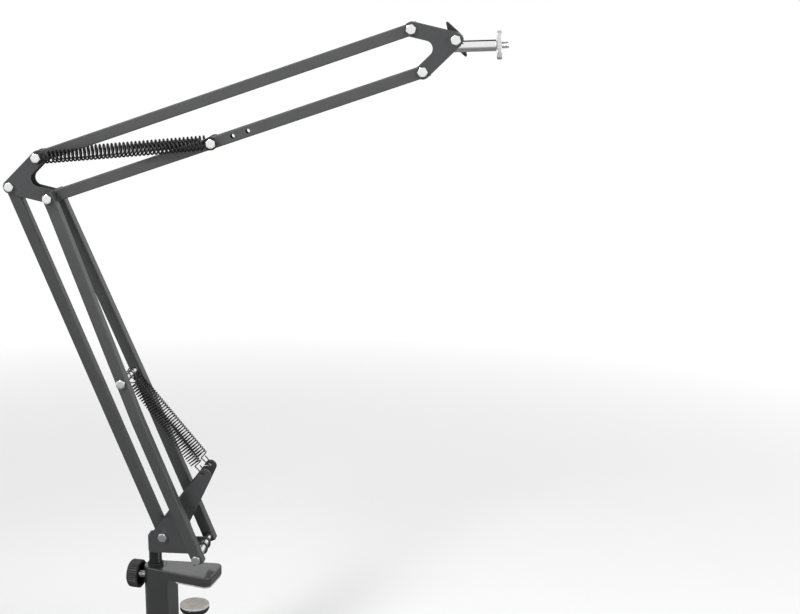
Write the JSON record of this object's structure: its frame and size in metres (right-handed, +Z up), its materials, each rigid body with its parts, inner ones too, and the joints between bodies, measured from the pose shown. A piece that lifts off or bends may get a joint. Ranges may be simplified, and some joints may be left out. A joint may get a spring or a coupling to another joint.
{
  "type": "overhead camera arm",
  "caption": "Desk-clamp overhead camera arm: spring-balanced parallelogram of square tube on a swivel post, with a tilting rod and threaded stud for a camera.",
  "frame": {"origin": "on the swivel post's axis, at the height of the desk's top, where the upper jaw pad rests", "axes": "+Z up, +X the way the arm reaches, the arm's hinges along Y; the clamp is turned 10 degrees clockwise from above"},
  "size_m": [0.4526, 0.0762, 0.6381],
  "materials": {
    "lower_paint": "satin powder coat, near black",
    "upper_paint": "satin powder coat, dark grey",
    "plate_paint": "satin powder coat, near black",
    "clamp_paint": "satin black paint on cast metal",
    "black_plastic": "moulded black plastic",
    "black_steel": "blackened, glossy",
    "zinc": "bright zinc plate",
    "chrome": "polished",
    "spring_steel": "black oiled spring wire",
    "pale_pad": "matt pale rubber"
  },
  "bodies": {
    "clamp": {"clamp_frame": "clamp_paint", "upper_jaw_pad": "pale_pad", "post_bush": "black_plastic"},
    "pressure_pad": {"pressure_pad": "black_steel", "pressure_pad_liner": "pale_pad"},
    "clamp_screw": {"clamp_screw": "zinc", "clamp_knob": "black_plastic"},
    "lock_screw": {"lock_screw": "zinc", "lock_knob": "black_plastic"},
    "swivel": {"swivel_post": "black_steel", "yoke": "plate_paint", "rear_pivot_bolt": "zinc", "rear_pivot_nut": "zinc", "base_front_bolt": "zinc", "base_front_nut": "zinc", "base_spacer_near": "zinc", "base_spacer_mid": "zinc", "base_spacer_far": "zinc", "base_washer_near": "black_steel", "base_washer_far": "black_steel", "lower_spring_near": "spring_steel", "lower_spring_far": "spring_steel"},
    "lower_pair": {"lower_bar_near": "lower_paint", "lower_bar_far": "lower_paint", "spring_pin": "zinc", "spring_pin_nut": "zinc", "spring_pin_spacer_near": "zinc", "spring_pin_spacer_mid": "zinc", "spring_pin_spacer_far": "zinc"},
    "lower_rear": {"lower_rear_tube": "lower_paint"},
    "elbow": {"elbow_plate_near": "plate_paint", "elbow_plate_far": "plate_paint", "elbow_front_bolt": "zinc", "elbow_front_nut": "zinc", "elbow_rear_bolt": "zinc", "elbow_rear_nut": "zinc", "elbow_top_bolt": "zinc", "elbow_top_nut": "zinc", "elbow_top_sleeve_near": "zinc", "elbow_top_sleeve_far": "zinc", "upper_spring_near": "spring_steel", "upper_spring_far": "spring_steel"},
    "upper_lower": {"upper_lower_bar": "upper_paint", "upper_spring_bolt": "zinc", "upper_spring_nut": "zinc", "upper_spring_sleeve_near": "zinc", "upper_spring_sleeve_far": "zinc"},
    "upper_top": {"upper_top_bar": "upper_paint"},
    "head": {"head_plate_near": "plate_paint", "head_plate_far": "plate_paint", "head_top_bolt": "zinc", "head_top_nut": "zinc", "head_lower_bolt": "zinc", "head_lower_nut": "zinc", "head_pivot_bolt": "zinc"},
    "wing_knob": {"wing_knob": "black_plastic"},
    "mount": {"mount_rod": "chrome", "camera_stud": "chrome"},
    "lock_disc": {"lock_disc": "chrome"}
  },
  "joints": [
    {"name": "post_swivel", "type": "hinge", "parent": "clamp", "child": "swivel", "pos_m": [0, 0, 0], "axis": [0, 0, 1], "continuous": true},
    {"name": "lower_arm", "type": "hinge", "parent": "swivel", "child": "lower_pair", "pos_m": [0.048, 0, 0.0336], "axis": [0, 1, 0], "range_deg": [-25, 60], "deforming": ["lower_spring_near", "lower_spring_far"]},
    {"name": "lower_rear_pivot", "type": "hinge", "parent": "swivel", "child": "lower_rear", "pos_m": [0.0096, 0, 0.0425], "axis": [0, 1, 0], "range_deg": [-25, 60]},
    {"name": "elbow_level", "type": "hinge", "parent": "lower_pair", "child": "elbow", "pos_m": [-0.08295, 0, 0.36604], "axis": [0, 1, 0], "range_deg": [-60, 25]},
    {"name": "upper_arm", "type": "hinge", "parent": "elbow", "child": "upper_lower", "pos_m": [-0.08295, 0, 0.36604], "axis": [0, 1, 0], "range_deg": [-35, 45], "deforming": ["upper_spring_near", "upper_spring_far"]},
    {"name": "upper_top_pivot", "type": "hinge", "parent": "elbow", "child": "upper_top", "pos_m": [-0.09335, 0, 0.40214], "axis": [0, 1, 0], "range_deg": [-35, 45]},
    {"name": "head_level", "type": "hinge", "parent": "upper_lower", "child": "head", "pos_m": [0.25103, 0, 0.47973], "axis": [0, 1, 0], "range_deg": [-45, 35]},
    {"name": "mount_tilt", "type": "hinge", "parent": "head", "child": "mount", "pos_m": [0.27903, 0, 0.50693], "axis": [0, 1, 0], "range_deg": [-70, 70]},
    {"name": "wing_knob_turn", "type": "hinge", "parent": "head", "child": "wing_knob", "pos_m": [0.27903, 0, 0.50693], "axis": [0, 1, 0], "range_deg": [0, 360]},
    {"name": "lock_disc_turn", "type": "hinge", "parent": "mount", "child": "lock_disc", "pos_m": [0.3092, 0, 0.50238], "axis": [0.9994, 0, 0.0349], "range_deg": [0, 360]},
    {"name": "pad_travel", "type": "slide", "parent": "clamp", "child": "pressure_pad", "axis": [0, 0, 1], "range_m": [-0.024, 0.022]},
    {"name": "clamp_screw_turn", "type": "hinge", "parent": "pressure_pad", "child": "clamp_screw", "pos_m": [0.03841, -0.00677, -0.06], "axis": [0, 0, 1], "range_deg": [-2892, 2652]},
    {"name": "lock_screw_turn", "type": "hinge", "parent": "clamp", "child": "lock_screw", "pos_m": [0, 0, -0.0008], "axis": [0.9848, -0.1736, 0], "range_deg": [-720, 0]}
  ],
  "couplings": [
    {"joint": "lower_rear_pivot", "follows": "lower_arm", "ratio": 1},
    {"joint": "elbow_level", "follows": "lower_arm", "ratio": -1},
    {"joint": "upper_top_pivot", "follows": "upper_arm", "ratio": 1},
    {"joint": "head_level", "follows": "upper_arm", "ratio": -1},
    {"joint": "clamp_screw_turn", "follows": "pad_travel", "rad_per_m": 2094.4}
  ]
}
